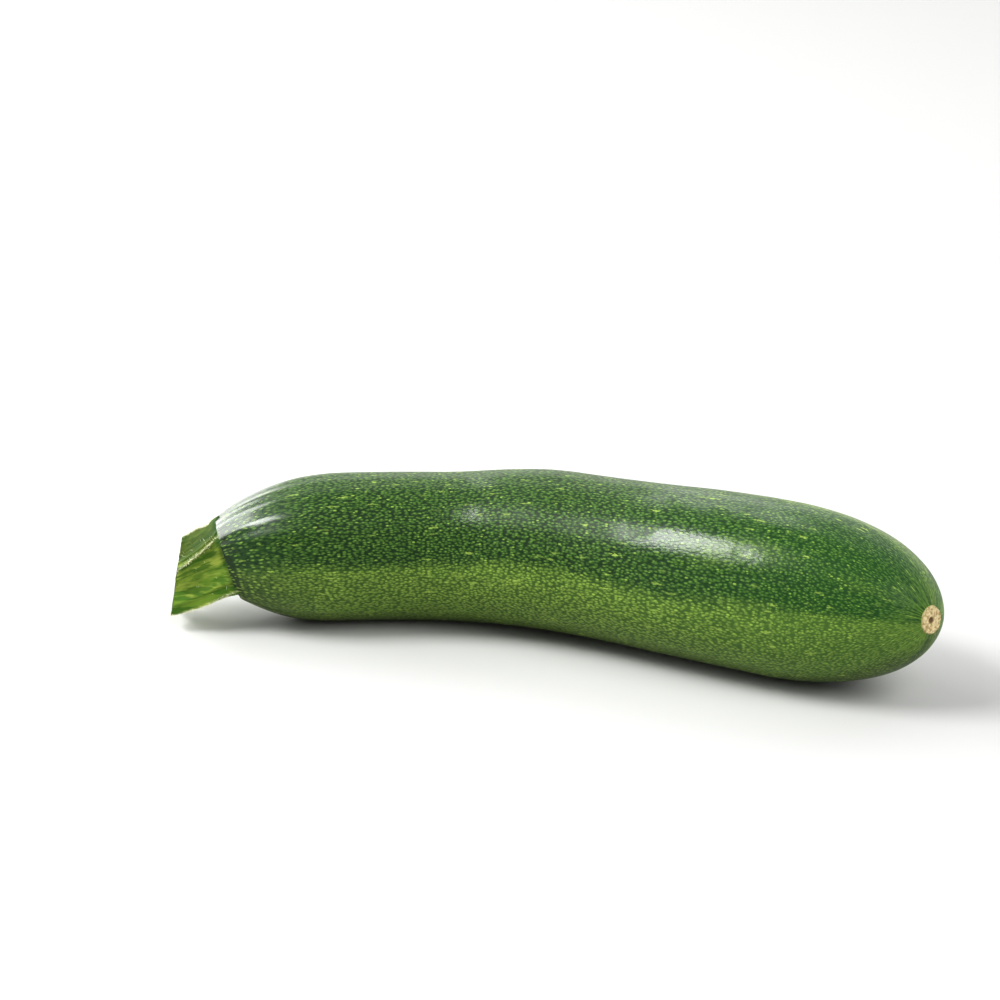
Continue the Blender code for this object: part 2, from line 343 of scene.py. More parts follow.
def around_stripe(turns, middle, half_width):
    """1 along a lengthwise stripe, 0 beside it. Degrees, from the level side over the top."""
    off = (np.degrees(turns) - middle + 180.0) % 360.0 - 180.0
    return np.exp(-((off / half_width) ** 4))


# The middle, half width and paleness of each band, in degrees around
BANDS = (
    (211.0, 43.0, 1.0),
    (141.0, 15.0, 0.38),
    (62.0, 16.0, 0.5),
    (8.0, 17.0, 0.7),
    (300.0, 20.0, 0.8),
)
bands = sum(paleness * around_stripe(angles, middle, width) for middle, width, paleness in BANDS)
# The upper bands only open towards the belly
opening = np.where(np.sin(angles) > 0.3, smooth_rise(skin_lengths, 0.10, 0.15)[:, None], 1.0)
skin_marks = {
    "light_band": bands * opening,
    "from_stem": skin_lengths[:, None],
    "from_tip": skin_lengths[-1] - skin_lengths[:, None],
    "upper_side": np.sin(angles),
    "handled": around_stripe(angles, 125.0, 36.0),  # where a hand rubs the wax
}
for name, values in skin_marks.items():
    store(fruit, name, over_rings(values, len(skin_rings), AROUND))
print("kept on the skin:", ", ".join(skin_marks))

# %% [markdown]
# ## Colours and nodes
#
# Colours are written as the hex codes that a screen shows and turned to linear light in one place.
# One small helper adds a node, sets it up, links what feeds it and hands back what it gives, so a
# material reads as a list of steps.

# %% Helpers for materials
SMOOTH = {"interpolation_type": "SMOOTHSTEP"}  # settings that many nodes share
COLOUR = {"data_type": "RGBA"}


def linear(hex_code):
    """A screen colour such as #88aa44 as linear red, green, blue and alpha."""
    channels = [int(hex_code[start : start + 2], 16) / 255.0 for start in (1, 3, 5)]
    bright = [c / 12.92 if c <= 0.04045 else ((c + 0.055) / 1.055) ** 2.4 for c in channels]
    return (*bright, 1.0)


def add_node(tree, kind, inputs=(), out=0, **settings):
    """Adds one node and gives one output. Inputs, in order or by name, are values or outputs."""
    node = tree.nodes.new(kind)
    for name, value in settings.items():
        setattr(node, name, value)
    for name, value in inputs.items() if isinstance(inputs, dict) else enumerate(inputs):
        if isinstance(value, bpy.types.NodeSocket):
            tree.links.new(value, node.inputs[name])
        else:
            node.inputs[name].default_value = value
    return node.outputs[out]


def new_material(name):
    """A material with its node tree and its Principled shader."""
    material = bpy.data.materials.new(name)
    material.use_nodes = True
    return material, material.node_tree, material.node_tree.nodes["Principled BSDF"]


print("light green as linear:", [round(c, 3) for c in linear("#5e7c33")[:3]])

# %% [markdown]
# ## Waxy rind
#
# The rind is a thin living skin, deep green, with broad paler bands. It is crowded with pale flecks
# a millimetre or two apart, drawn out lengthwise and lined up in rows from stem to blossom. A
# natural wax gives it a satin gloss. Flecks could be painted, but a cell pattern laid in the skin's
# own rows makes thousands of them that gather at both ends by themselves.

# %% Rind: coordinates and patterns
rind, tree, shader = new_material("courgette_waxed_rind")
FLECK_ROWS = 210  # 0.64 mm apart around the middle
FLECK_SPACING = 0.00138  # along a row
ROW_SCALE = skin_lengths[-1] / (1.0 - 2.0 * UV_MARGIN)

laid = add_node(tree, "ShaderNodeAttribute", (), "Vector", attribute_name="OFBake")
place = add_node(tree, "ShaderNodeAttribute", (), "Vector", attribute_name="skin_position")
band, from_stem, from_tip, upper_side, handled = (
    add_node(tree, "ShaderNodeAttribute", (), "Fac", attribute_name=name) for name in skin_marks
)


def blotches(tree, place, size, stretch=1.0, detail=2.0, out="Fac"):
    """Cloudy noise from 0 to 1 with blotches of a real size in metres, drawn out lengthwise."""
    per_metre = (1.0 / size, 1.0 / size, 1.0 / size / stretch)
    scaled = add_node(tree, "ShaderNodeVectorMath", (place, per_metre), operation="MULTIPLY")
    settings = {"Vector": scaled, "Scale": 1.0, "Detail": detail, "Roughness": 0.58}
    return add_node(tree, "ShaderNodeTexNoise", settings, out)


def skin_cells(tree, rows, spacing, wobble, randomness, shift):
    """Cells in lengthwise rows: the distance from each cell's middle, and three random numbers."""
    per_turn = (rows, ROW_SCALE / spacing, 0.0)
    spread = add_node(tree, "ShaderNodeVectorMath", (laid, per_turn), operation="MULTIPLY")
    waved = (wave, (wobble, wobble, 0.0), spread)
    waved = add_node(tree, "ShaderNodeVectorMath", waved, operation="MULTIPLY_ADD")
    moved = add_node(tree, "ShaderNodeVectorMath", (waved, (shift, shift, 0.0)), operation="ADD")
    settings = {"Vector": moved, "Scale": 1.0, "Randomness": randomness}
    away = add_node(tree, "ShaderNodeTexVoronoi", settings, "Distance", voronoi_dimensions="2D")
    chances = add_node(tree, "ShaderNodeSeparateColor", (away.node.outputs["Color"],))
    return away, chances.node.outputs


wave = blotches(tree, place, 0.009, 2.0, out="Color")
cloud = blotches(tree, place, 0.014, 3.0, 3.0)
mottle = blotches(tree, place, 0.0032, 2.2, 3.0)
grain = blotches(tree, place, 0.00044, 2.8, 2.0)
ray = blotches(tree, place, 0.0016, 9.0)
print("rind patterns use", len(tree.nodes), "nodes")

# %% Rind: flecks in rows
away, chance = skin_cells(tree, FLECK_ROWS, FLECK_SPACING, 0.8, 0.92, 0.0)
bead = add_node(tree, "ShaderNodeMapRange", (away, 0.26, 0.62, 1.0, 0.0), **SMOOTH)
reach = add_node(tree, "ShaderNodeMapRange", (chance[0], 0.0, 1.0, 0.16, 0.38))
beyond = add_node(tree, "ShaderNodeMath", (away, reach), operation="SUBTRACT")
fleck = add_node(tree, "ShaderNodeMapRange", (beyond, -0.20, 0.12, 1.0, 0.0), **SMOOTH)
paleness = add_node(tree, "ShaderNodeMapRange", (chance[1], 0.0, 1.0, 0.20, 0.95))
flecks = add_node(tree, "ShaderNodeMath", (fleck, paleness), operation="MULTIPLY")

# Towards the stem the rows are fewer, so that each one shows
seat_away, seat_chance = skin_cells(tree, FLECK_ROWS / 2.2, FLECK_SPACING * 1.6, 0.45, 0.78, 5.0)
seat_paleness = add_node(tree, "ShaderNodeMapRange", (seat_chance[1], 0.0, 1.0, 0.25, 0.95))
seat_fleck = add_node(tree, "ShaderNodeMapRange", (seat_away, 0.10, 0.36, 1.0, 0.0), **SMOOTH)
seat_fleck = add_node(tree, "ShaderNodeMath", (seat_fleck, seat_paleness), operation="MULTIPLY")
by_seat = add_node(tree, "ShaderNodeMapRange", (from_stem, 0.008, 0.026, 1.0, 0.0), **SMOOTH)
flecks = add_node(tree, "ShaderNodeMix", {0: by_seat, 2: flecks, 3: seat_fleck})
bright = add_node(tree, "ShaderNodeMapRange", (chance[2], 0.93, 0.98), **SMOOTH)
bright = add_node(tree, "ShaderNodeMath", (fleck, bright), operation="MULTIPLY")

# A few long pale dashes, 2 to 4 mm long, with ragged outlines
long_away, long_chance = skin_cells(tree, FLECK_ROWS / 2.7, FLECK_SPACING * 5.4, 1.0, 1.0, 17.0)
ragged_away = add_node(tree, "ShaderNodeMath", (grain, 0.95, long_away), operation="MULTIPLY_ADD")
dash = add_node(tree, "ShaderNodeMapRange", (ragged_away, 0.50, 0.68, 1.0, 0.0), **SMOOTH)
is_dash = add_node(tree, "ShaderNodeMapRange", (long_chance[0], 0.80, 0.99))
dashes = add_node(tree, "ShaderNodeMath", (dash, is_dash), operation="MULTIPLY")
print("fleck rows:", FLECK_ROWS, "flecks along a row:", round(skin_lengths[-1] / FLECK_SPACING))

# %% [markdown]
# The colours are mixed from the bottom up, as a painter would: dark green threads and lighter green
# between them, the paler bands, a bluer green towards the blossom end, deep green at the stem, painted
# shade in a narrow ring where the stem sits and along the underside, pale rays around the scar, and
# last the flecks.

# %% Rind: greens and where they lie
clouded = add_node(tree, "ShaderNodeMath", (cloud, 1.2, band), operation="MULTIPLY_ADD")
banded = add_node(tree, "ShaderNodeMapRange", (clouded, 0.82, 1.34), **SMOOTH)
# Four greens: threads, the skin between them, the blossom end, flecks. Each is lighter in a band
greens = []
for dark, light in (
    ("#152c10", "#405c20"),
    ("#37581f", "#6a8536"),
    ("#275a20", "#4f7530"),
    ("#6b8f40", "#8fac4c"),
):
    shades = {0: banded, 6: linear(dark), 7: linear(light)}
    greens.append(add_node(tree, "ShaderNodeMix", shades, 2, **COLOUR))
thread_green, open_green, cool_green, fleck_green = greens

open_share = add_node(tree, "ShaderNodeMath", (bead, 0.28, grain), operation="MULTIPLY_ADD")
open_share = add_node(tree, "ShaderNodeMapRange", (open_share, 0.48, 0.80), **SMOOTH)
cool_share = add_node(tree, "ShaderNodeMapRange", (from_tip, 0.02, 0.10, 0.45, 0.0))
shaded = add_node(tree, "ShaderNodeMapRange", (mottle, 0.3, 0.7, 0.0, 0.30))
by_stem = add_node(tree, "ShaderNodeMapRange", (from_stem, 0.0, 0.028, 0.68, 0.0))
# painted shade: a dark ring where the stem's foot sits on the fruit
seat_ring_shade = add_node(tree, "ShaderNodeMapRange", (from_stem, 0.0, 0.004, 0.8, 0.0))
# painted shade: the skin is darkened towards the bottom of the fruit
painted_underside_shade = add_node(tree, "ShaderNodeMapRange", (upper_side, -0.92, -0.55, 0.7, 0.0), **SMOOTH)
ray_share = add_node(tree, "ShaderNodeMapRange", (ray, 0.45, 0.60), **SMOOTH)
by_scar = add_node(tree, "ShaderNodeMapRange", (from_tip, 0.001, 0.013, 0.60, 0.0))
rays = add_node(tree, "ShaderNodeMath", (ray_share, by_scar), operation="MULTIPLY")
print("greens use", len(tree.nodes), "nodes so far")

# %% Rind: lay the colours over each other
fleck_share = add_node(tree, "ShaderNodeMath", (flecks, 0.85), operation="MULTIPLY")
bright_share = add_node(tree, "ShaderNodeMath", (bright, 0.65), operation="MULTIPLY")
dash_share = add_node(tree, "ShaderNodeMath", (dashes, 0.85), operation="MULTIPLY")
skin = thread_green
for share, colour in (
    (open_share, open_green),
    (cool_share, cool_green),
    (shaded, linear("#1d3a17")),
    (by_stem, linear("#16301a")),
    (seat_ring_shade, linear("#1c2a14")),
    (painted_underside_shade, linear("#2b3b17")),
    (rays, linear("#6f9438")),
    (fleck_share, fleck_green),
    (bright_share, linear("#9dbb50")),
    (dash_share, linear("#9ab553")),
):
    skin = add_node(tree, "ShaderNodeMix", {0: share, 6: skin, 7: colour}, 2, **COLOUR)
tree.links.new(skin, shader.inputs["Base Color"])
print("colour of the rind set from", len(tree.nodes), "nodes")

# %% [markdown]
# Handling rubs the dull bloom off the wax where the fruit is held and by the stem, and there it
# shines. So the gloss changes along the fruit: rough under the bloom, satin where it is rubbed.

# %% Rind: where the wax is rubbed
rubs = []
for first, full, fades, last, strength in (
    (0.110, 0.126, 0.158, 0.172, 1.0),  # the belly, in metres from the stem
    (0.062, 0.067, 0.072, 0.078, 0.8),  # the middle
):
    starts = add_node(tree, "ShaderNodeMapRange", (from_stem, first, full), **SMOOTH)
    stops = add_node(tree, "ShaderNodeMapRange", (from_stem, fades, last, strength, 0.0), **SMOOTH)
    rubs.append(add_node(tree, "ShaderNodeMath", (starts, stops), operation="MULTIPLY"))
body_rub = add_node(tree, "ShaderNodeMath", rubs, operation="MAXIMUM")
bloom = blotches(tree, place, 0.0085, 1.0, 3.0)
bloom_left = add_node(tree, "ShaderNodeMapRange", (bloom, 0.40, 0.56, 0.20, 0.85), **SMOOTH)
for share in (bloom_left, handled):
    body_rub = add_node(tree, "ShaderNodeMath", (body_rub, share), operation="MULTIPLY")

stem_side = add_node(tree, "ShaderNodeMapRange", (from_stem, 0.010, 0.022, 1.0, 0.0), **SMOOTH)
on_top = add_node(tree, "ShaderNodeMapRange", (upper_side, 0.40, 0.75), **SMOOTH)
stem_rub = add_node(tree, "ShaderNodeMath", (stem_side, on_top), operation="MULTIPLY")
rubbed = add_node(tree, "ShaderNodeMath", (body_rub, stem_rub), operation="MAXIMUM")
print("rubbed on the belly, the middle and by the stem:", len(rubs) + 1, "places")

# %% Rind: gloss
SATIN, DULL, UNEVEN = 0.20, 0.46, 0.08
uneven = add_node(tree, "ShaderNodeMapRange", (mottle, 0.25, 0.75, 0.0, UNEVEN))
satin = add_node(tree, "ShaderNodeMapRange", (rubbed, 0.0, 1.0, DULL, SATIN))
satin = add_node(tree, "ShaderNodeMath", (satin, uneven), operation="ADD")
tree.links.new(satin, shader.inputs["Roughness"])
coat = add_node(tree, "ShaderNodeMapRange", (rubbed, 0.0, 1.0, 0.05, 0.75))
coat = add_node(tree, "ShaderNodeMath", (stem_rub, 0.12, coat), operation="MULTIPLY_ADD")
tree.links.new(coat, shader.inputs["Coat Weight"])
for socket, value in {
    "IOR": 1.38,  # plant wax
    "Specular IOR Level": 0.35,  # the bloom dulls it
    "Coat Roughness": 0.21,
    "Sheen Weight": 0.16,  # dusty bloom seen edge on
    "Sheen Roughness": 0.25,
    "Sheen Tint": linear("#e6e0c8"),
}.items():
    shader.inputs[socket].default_value = value
print("roughness from", SATIN, "rubbed to", round(DULL + UNEVEN, 2), "dull")

# %% Rind: fine grain you could feel
raised = add_node(tree, "ShaderNodeMath", (bead, 0.6, grain), operation="MULTIPLY_ADD")
raised = add_node(tree, "ShaderNodeMath", (mottle, 1.3, raised), operation="MULTIPLY_ADD")
stretched = add_node(tree, "ShaderNodeMapRange", (from_stem, 0.012, 0.030, 0.15, 1.0))
for height, socket in ((0.00005, "Normal"), (0.000012, "Coat Normal")):  # the wax fills the pores
    bump = {"Height": raised, "Distance": height, "Strength": stretched}
    tree.links.new(add_node(tree, "ShaderNodeBump", bump), shader.inputs[socket])
fruit.data.materials.append(rind)
print("rind nodes:", len(tree.nodes))

# %% [markdown]
# ## The stem
#
# The stem is the stalk that held the fruit to the plant. It has five sharp ribs with hollow faces
# between them, it twists a little, and each rib ends in a rounded lobe that grips the shoulder. A
# knife cut leaves a five-lobed star. It is lofted like the fruit, with a section that changes from
# the lobed foot over the narrow waist to the star.

# %% The stem's section
STEM_LENGTH, STEM_WAIST_RADIUS, STEM_CUT_RADIUS = 0.0146, 0.0103, 0.0106
STEM_BASE_RADIUS = SEAT_RADIUS - 0.0002
STEM_CUT_CLEARANCE, STEM_GAP = 0.0020, 0.0003
GROOVE_AT_BASE, GROOVE_AT_CUT = 0.0018, 0.0038
RIBS_AT_CUT = np.radians((8.0, 75.0, 148.0, 228.0, 298.0))  # around, from the level side over the top
RIBS_AT_FOOT = np.radians((6.0, 78.0, 123.0, 206.0, 288.0))
CUT_LEAN, CUT_SKEW = math.radians(9.0), math.radians(5.0)
STEM_AROUND = 480
stem_angles = 2.0 * math.pi * np.arange(STEM_AROUND) / STEM_AROUND


def across_face(share):
    """From each rib's crest (0) to the next (1), and how wide that face is, for each ring."""
    place, width = [], []
    for ribs in RIBS_AT_FOOT + (RIBS_AT_CUT - RIBS_AT_FOOT) * share[:, None]:
        knots = np.concatenate([ribs[-1:] - 2.0 * math.pi, ribs, ribs[:1] + 2.0 * math.pi])
        count = np.interp(stem_angles, knots, np.arange(len(knots)))
        place.append(count % 1.0)
        width.append(np.diff(knots)[np.minimum(count.astype(int), len(ribs))])
    return np.array(place), np.array(width)


def stem_radii(share):
    """The stem's radii, with sharp crests at its waist and rounder lobes at both ends."""
    swell = (2.0 * share - 1.0) ** 2
    end_radius = np.where(share < 0.5, STEM_BASE_RADIUS, STEM_CUT_RADIUS)
    crest = STEM_WAIST_RADIUS + (end_radius - STEM_WAIST_RADIUS) * swell
    groove = GROOVE_AT_BASE + (GROOVE_AT_CUT - GROOVE_AT_BASE) * share
    place, width = across_face(share)
    sharpness = (1.15 + 0.75 * np.abs(2.0 * share - 1.0) ** 3)[:, None]
    hollow = np.sin(math.pi * place) ** sharpness * (width / math.radians(72.0)) ** 0.7
    return crest[:, None] - groove[:, None] * hollow


print("stem waist in mm:", STEM_WAIST_RADIUS * 2000, "ribs:", len(RIBS_AT_CUT))

# %% The stem's place and middle line
seat_centre, seat_forward, seat_side, seat_up = (row[0] for row in axes_along(0.0))
seat_centre = seat_centre + PLACE
inward = unit(np.array([seat_forward[0], seat_forward[1], 0.0]))
stem_base = seat_centre - STEM_GAP * seat_forward
drop = stem_base[2] - STEM_CUT_RADIUS - STEM_CUT_CLEARANCE
stem_end = stem_base - math.sqrt(STEM_LENGTH**2 - drop**2) * inward - np.array([0.0, 0.0, drop])
knee = stem_base - STEM_LENGTH / 2.0 * seat_forward
cut_up = np.array([0.0, 0.0, math.cos(CUT_LEAN)]) + math.sin(CUT_LEAN) * inward
cut_out = unit(np.cross(seat_side, cut_up))
if cut_out @ seat_forward > 0.0:
    cut_out = -cut_out


def stem_rings(share, radii):
    """Rings of the stem along its drooping middle line."""
    share = share[:, None]
    line = (1.0 - share) ** 2 * stem_base + 2.0 * share * (1.0 - share) * knee + share**2 * stem_end
    ring_up = unit(seat_up + (cut_up - seat_up) * share)
    return ring_grid(line, np.broadcast_to(seat_side, ring_up.shape), ring_up, radii, stem_angles)


print("the stem droops by mm:", round(float(stem_base[2] - stem_end[2]) * 1000, 1))

# %% Ribs, fibres and dents of the stem's side
RIDGE_HEIGHT, SECOND_RIDGE_HEIGHT, LOBE_HEIGHT = 0.00022, 0.00045, 0.0008
FIBRE_HEIGHT, DENT_HEIGHT, SAG = 0.00008, 0.00030, 0.0015
side_share = np.linspace(1.0, 0.0, 76)
side_radii = stem_radii(side_share)
face_place, _ = across_face(side_share)
crest_share = np.abs(np.cos(math.pi * face_place))
ridge = np.exp(-((1.0 - crest_share) / 0.0022) ** 2)
second_ridge = np.exp(-(((face_place - 0.80) / 0.04) ** 2))
second_ridge -= 0.6 * np.exp(-(((face_place - 0.89) / 0.04) ** 2))
foot = np.clip(1.0 - side_share / 0.20, 0.0, 1.0)[:, None]
lobe = crest_share**3

whole_grid = side_radii.shape
stem_place = np.stack(
    [
        np.broadcast_to(0.010 * np.cos(stem_angles), whole_grid),
        np.broadcast_to(0.010 * np.sin(stem_angles), whole_grid),
        np.broadcast_to(STEM_LENGTH * side_share[:, None], whole_grid),
    ],
    axis=-1,
)
fibre = field_noise(stem_place * (1.0, 1.0, 0.12), 0.0007, 5)
dents = field_noise(stem_place * (1.0, 1.0, 0.6), 0.0030, 6)
side_radii = side_radii + RIDGE_HEIGHT * ridge * (1.0 + dents) + SECOND_RIDGE_HEIGHT * second_ridge
side_radii += FIBRE_HEIGHT * fibre + DENT_HEIGHT * dents + LOBE_HEIGHT * lobe * foot**1.3
below = np.exp(-(((stem_angles - RIBS_AT_CUT[3]) / 0.7) ** 2))  # around the lowest rib
side_radii += SAG * np.sin(math.pi * side_share[:, None]) * below
print("stem radius in mm, least and most:", np.round([side_radii.min(), side_radii.max()], 4) * 1000)

# %% Rings of the stem's side
FOOT_SINK, HIDDEN_FOOT_SHARE, HIDDEN_FOOT_DEPTH = 0.0004, 0.86, 0.0016
cut_slant = -math.tan(CUT_SKEW) * np.cos(stem_angles)[None, :]
# The foot's lobes reach over the seat's edge, so they follow the shoulder down to it
over_edge = np.clip((NECK_RADIUS - side_radii) / (NECK_RADIUS - SEAT_RADIUS), 0.0, 1.0)
shoulder_place = SHOULDER_LENGTH * (1.0 - over_edge ** (1.0 / SHOULDER_ROUNDNESS))
side_points = stem_rings(side_share, side_radii)
side_points += (shoulder_place * foot**1.5 + FOOT_SINK * foot**3)[:, :, None] * seat_forward
side_points += (side_share[:, None] ** 2 * side_radii * cut_slant)[:, :, None] * cut_out
print("stem side rings:", len(side_share))

# %% The cut face
CUT_HOLLOW, CUT_ROUGHNESS, VEIN_HEIGHT, RAGGED_EDGE = 0.0012, 0.00014, 0.00012, 0.00016
near_middle = [0.08, 0.16, 0.24, 0.32, 0.40, 0.47, 0.54, 0.60, 0.66]
near_rim = [0.71, 0.76, 0.81, 0.85, 0.89, 0.92, 0.95, 0.975, 0.99]
cut_share = np.array(near_middle + near_rim)
face_radii = side_radii[:1] * cut_share[:, None]
flat = [np.broadcast_to(row, (len(cut_share), 3)) for row in (stem_end, seat_side, unit(cut_up))]
face_plane = ring_grid(*flat, face_radii, stem_angles)
rough = field_noise(face_plane, 0.0011, 7) + 0.6 * field_noise(face_plane, 0.0005, 8)
sunk = -CUT_HOLLOW * (1.0 - smooth_rise(cut_share, 0.40, 1.0))[:, None]
off_rim = smooth_rise(1.0 - cut_share, 0.0, 0.12)[:, None]
proud = sunk + CUT_ROUGHNESS * rough * off_rim + face_radii * cut_slant
from_ring, from_crest = (cut_share[:, None] - 0.72) / 0.06, (1.0 - crest_share[:1]) / 0.03
vein = np.exp(-(from_ring**2) - from_crest**2)
face_points = face_plane + (proud + VEIN_HEIGHT * vein)[:, :, None] * cut_out
ragged = RAGGED_EDGE * field_noise(side_points[:2], 0.0006, 9)
side_points[0] += ragged[0][:, None] * cut_out

# One more ring inside the fruit closes the stem where nothing shows
foot_radii = side_radii[-1] * HIDDEN_FOOT_SHARE
foot_points = stem_rings(np.zeros(1), foot_radii[None, :]) + HIDDEN_FOOT_DEPTH * seat_forward
all_points = np.concatenate([face_points, side_points, foot_points])
lengths = lengths_along(all_points)
stem = lofted_piece("courgette_stem", all_points, lengths / lengths[-1], 50.0)
print("stem triangles:", sum(len(face.vertices) - 2 for face in stem.data.polygons))

# %% Keep where ribs, lobes and cut are
face_count = len(cut_share)


def over_all(face_values, side_values):
    """One value per stem point: cut face first, then the side, then the hidden foot."""
    face_values = np.broadcast_to(face_values, (face_count, STEM_AROUND))
    return np.concatenate([face_values, side_values, side_values[-1:]])


at_cut = np.clip(1.0 - (1.0 - side_share) / 0.02, 0.0, 1.0)[:, None]
stem_marks = {
    "rib_crest": (0.0, ridge),
    "groove": (0.0, 1.0 - crest_share),
    "foot_lobe": (0.0, foot),
    # painted shade: the stem's upper face, around 100 degrees, is darkened
    "painted_top_shade": (0.0, 0.7 * around_stripe(stem_angles, 100.0, 48.0)),
    "cut_face": (1.0, at_cut),
    "cut_share": (cut_share[:, None], 1.0),
    "vein": (vein, 0.0),
}
for name, (on_face, on_side) in stem_marks.items():
    store(stem, name, over_all(on_face, over_rings(on_side, len(side_share), STEM_AROUND)))
turned = np.stack([np.cos(stem_angles), np.sin(stem_angles)], -1)
cut_depth = np.full((face_count, STEM_AROUND, 1), STEM_LENGTH)
cut_place = np.concatenate([face_radii[:, :, None] * turned, cut_depth], axis=-1)
store(stem, "stem_place", np.concatenate([cut_place, stem_place, stem_place[-1:]]))
print("kept on the stem:", ", ".join(stem_marks))

# %% [markdown]
# The stalk is tough green fibre under a thin rind: lime green faces with darker lengthwise fibres,
# dark green lobes at the foot, and cream-coloured down worn along the crests. Painted shade darkens
# the upper face, the middle of each hollow face and the rim of the cut. The cut face has dried to a
# dull fibrous sponge with one darker vein in each lobe.

# %% Stalk: coordinates and patterns
stalk, tree, shader = new_material("courgette_fibrous_stalk")
place = add_node(tree, "ShaderNodeAttribute", (), "Vector", attribute_name="stem_place")
crest, groove, at_foot, painted_top_shade, cut, cut_out_share, vein_mark = (
    add_node(tree, "ShaderNodeAttribute", (), "Fac", attribute_name=name) for name in stem_marks
)
fibres = blotches(tree, place, 0.00050, 12.0, 3.0)
strands = blotches(tree, place, 0.0015, 5.0, 3.0)
patches = blotches(tree, place, 0.0030, 1.8)
specks = blotches(tree, place, 0.0004, 1.3)
print("stalk patterns use", len(tree.nodes), "nodes")

# %% Stalk: colours
lime = add_node(tree, "ShaderNodeMapRange", (patches, 0.35, 0.65), **SMOOTH)
limes = {0: lime, 6: linear("#6d8a34"), 7: linear("#a4b552")}
green = add_node(tree, "ShaderNodeMix", limes, 2, **COLOUR)
strand = add_node(tree, "ShaderNodeMapRange", (strands, 0.47, 0.59, 0.0, 0.8), **SMOOTH)
fibre_mark = add_node(tree, "ShaderNodeMapRange", (fibres, 0.45, 0.66, 0.0, 0.45))
# painted shade: the middle of each hollow face is darkened
hollow_shade = add_node(tree, "ShaderNodeMapRange", (groove, 0.60, 0.98, 0.0, 0.35))
# painted shade darkens the stem's upper face
top_shade_share = add_node(tree, "ShaderNodeMath", (painted_top_shade, 1.2), operation="MULTIPLY")
foot_share = add_node(tree, "ShaderNodeMapRange", (at_foot, 0.45, 0.95, 0.0, 0.7), **SMOOTH)
foot_patch = add_node(tree, "ShaderNodeMapRange", (strands, 0.35, 0.55, 0.45, 1.0))
foot_share = add_node(tree, "ShaderNodeMath", (foot_share, foot_patch), operation="MULTIPLY")
down = add_node(tree, "ShaderNodeMapRange", (specks, 0.36, 0.56, 0.0, 0.9))
worn = add_node(tree, "ShaderNodeMapRange", (patches, 0.38, 0.55, 0.25, 1.0), **SMOOTH)
for share in (crest, worn):
    down = add_node(tree, "ShaderNodeMath", (down, share), operation="MULTIPLY")
for share, colour in (
    (strand, "#3a6420"),
    (fibre_mark, "#41631f"),
    (hollow_shade, "#3f6125"),
    (top_shade_share, "#2f4412"),
    (foot_share, "#1f4a1a"),
    (down, "#dcdcae"),
):
    layer = {0: share, 6: green, 7: linear(colour)}
    green = add_node(tree, "ShaderNodeMix", layer, 2, **COLOUR)
print("stalk colours use", len(tree.nodes), "nodes")

# %% Stalk: the cut face and the finish
dry = add_node(tree, "ShaderNodeMapRange", (specks, 0.35, 0.65))
# painted shade: the rim of the cut face is darkened
rim = add_node(tree, "ShaderNodeMapRange", (cut_out_share, 0.80, 0.95), **SMOOTH)
vein_share = add_node(tree, "ShaderNodeMapRange", (vein_mark, 0.3, 0.8, 0.0, 0.85))
sponge = linear("#5d7136")
for share, colour in ((dry, "#a9ac74"), (rim, "#3d5424"), (vein_share, "#2c4d1f")):
    layer = {0: share, 6: sponge, 7: linear(colour)}
    sponge = add_node(tree, "ShaderNodeMix", layer, 2, **COLOUR)
whole = add_node(tree, "ShaderNodeMix", {0: cut, 6: green, 7: sponge}, 2, **COLOUR)
tree.links.new(whole, shader.inputs["Base Color"])
for socket, value in {"Roughness": 0.55, "IOR": 1.4, "Specular IOR Level": 0.15}.items():
    shader.inputs[socket].default_value = value
raised = add_node(tree, "ShaderNodeMath", (specks, 0.5, fibres), operation="MULTIPLY_ADD")
raised = add_node(tree, "ShaderNodeMath", (strands, 1.5, raised), operation="MULTIPLY_ADD")
bump = {"Height": raised, "Distance": 0.00012, "Strength": 1.0}
tree.links.new(add_node(tree, "ShaderNodeBump", bump), shader.inputs["Normal"])
stem.data.materials.append(stalk)
print("stalk nodes:", len(tree.nodes))

# %% [markdown]
# ## Bristles
#
# Short stiff hairs stand along the ribs. A particle system would vanish in an export, so each hair
# is a thin closed cone of real geometry, placed on the mesh where the crest value is high.

# %% Grow the bristles
HAIR_COUNT = 520
chance_source = np.random.default_rng(11)
side_first = face_count * STEM_AROUND
by_cut = np.exp(-(((side_share[:, None] - 1.0) / 0.02) ** 2))
hair_weight = (ridge**2 + 0.005 + 0.03 * by_cut).ravel()
hair_weight = hair_weight * np.repeat(side_share > 0.04, STEM_AROUND)
hair_weight = hair_weight / hair_weight.sum()
chosen = chance_source.choice(len(hair_weight), HAIR_COUNT, replace=False, p=hair_weight)
hair_vertices, hair_faces = [], []
for pick in chosen:
    vertex = stem.data.vertices[int(side_first + pick)]
    tilt = Vector(chance_source.normal(0.0, 0.40, 3))
    aim = (vertex.normal + tilt).normalized()
    across = aim.orthogonal().normalized()
    length = float(chance_source.uniform(0.0004, 0.0013))
    width = float(chance_source.uniform(0.00004, 0.00008))
    root = vertex.co - 0.00005 * vertex.normal
    first = len(hair_vertices)
    for corner in range(4):
        spoke = Matrix.Rotation(corner * math.pi / 2.0, 3, aim) @ across
        hair_vertices.append(root + width * spoke)
    hair_vertices.append(root + length * aim)
    hair_faces += [(first + corner, first + (corner + 1) % 4, first + 4) for corner in range(4)]
    hair_faces.append((first + 3, first + 2, first + 1, first))
hair_mesh = bpy.data.meshes.new("stem_bristles")
hair_mesh.from_pydata([tuple(point) for point in hair_vertices], [], hair_faces)
bristles = bpy.data.objects.new("stem_bristles", hair_mesh)
bpy.context.scene.collection.objects.link(bristles)
print("bristles:", HAIR_COUNT)

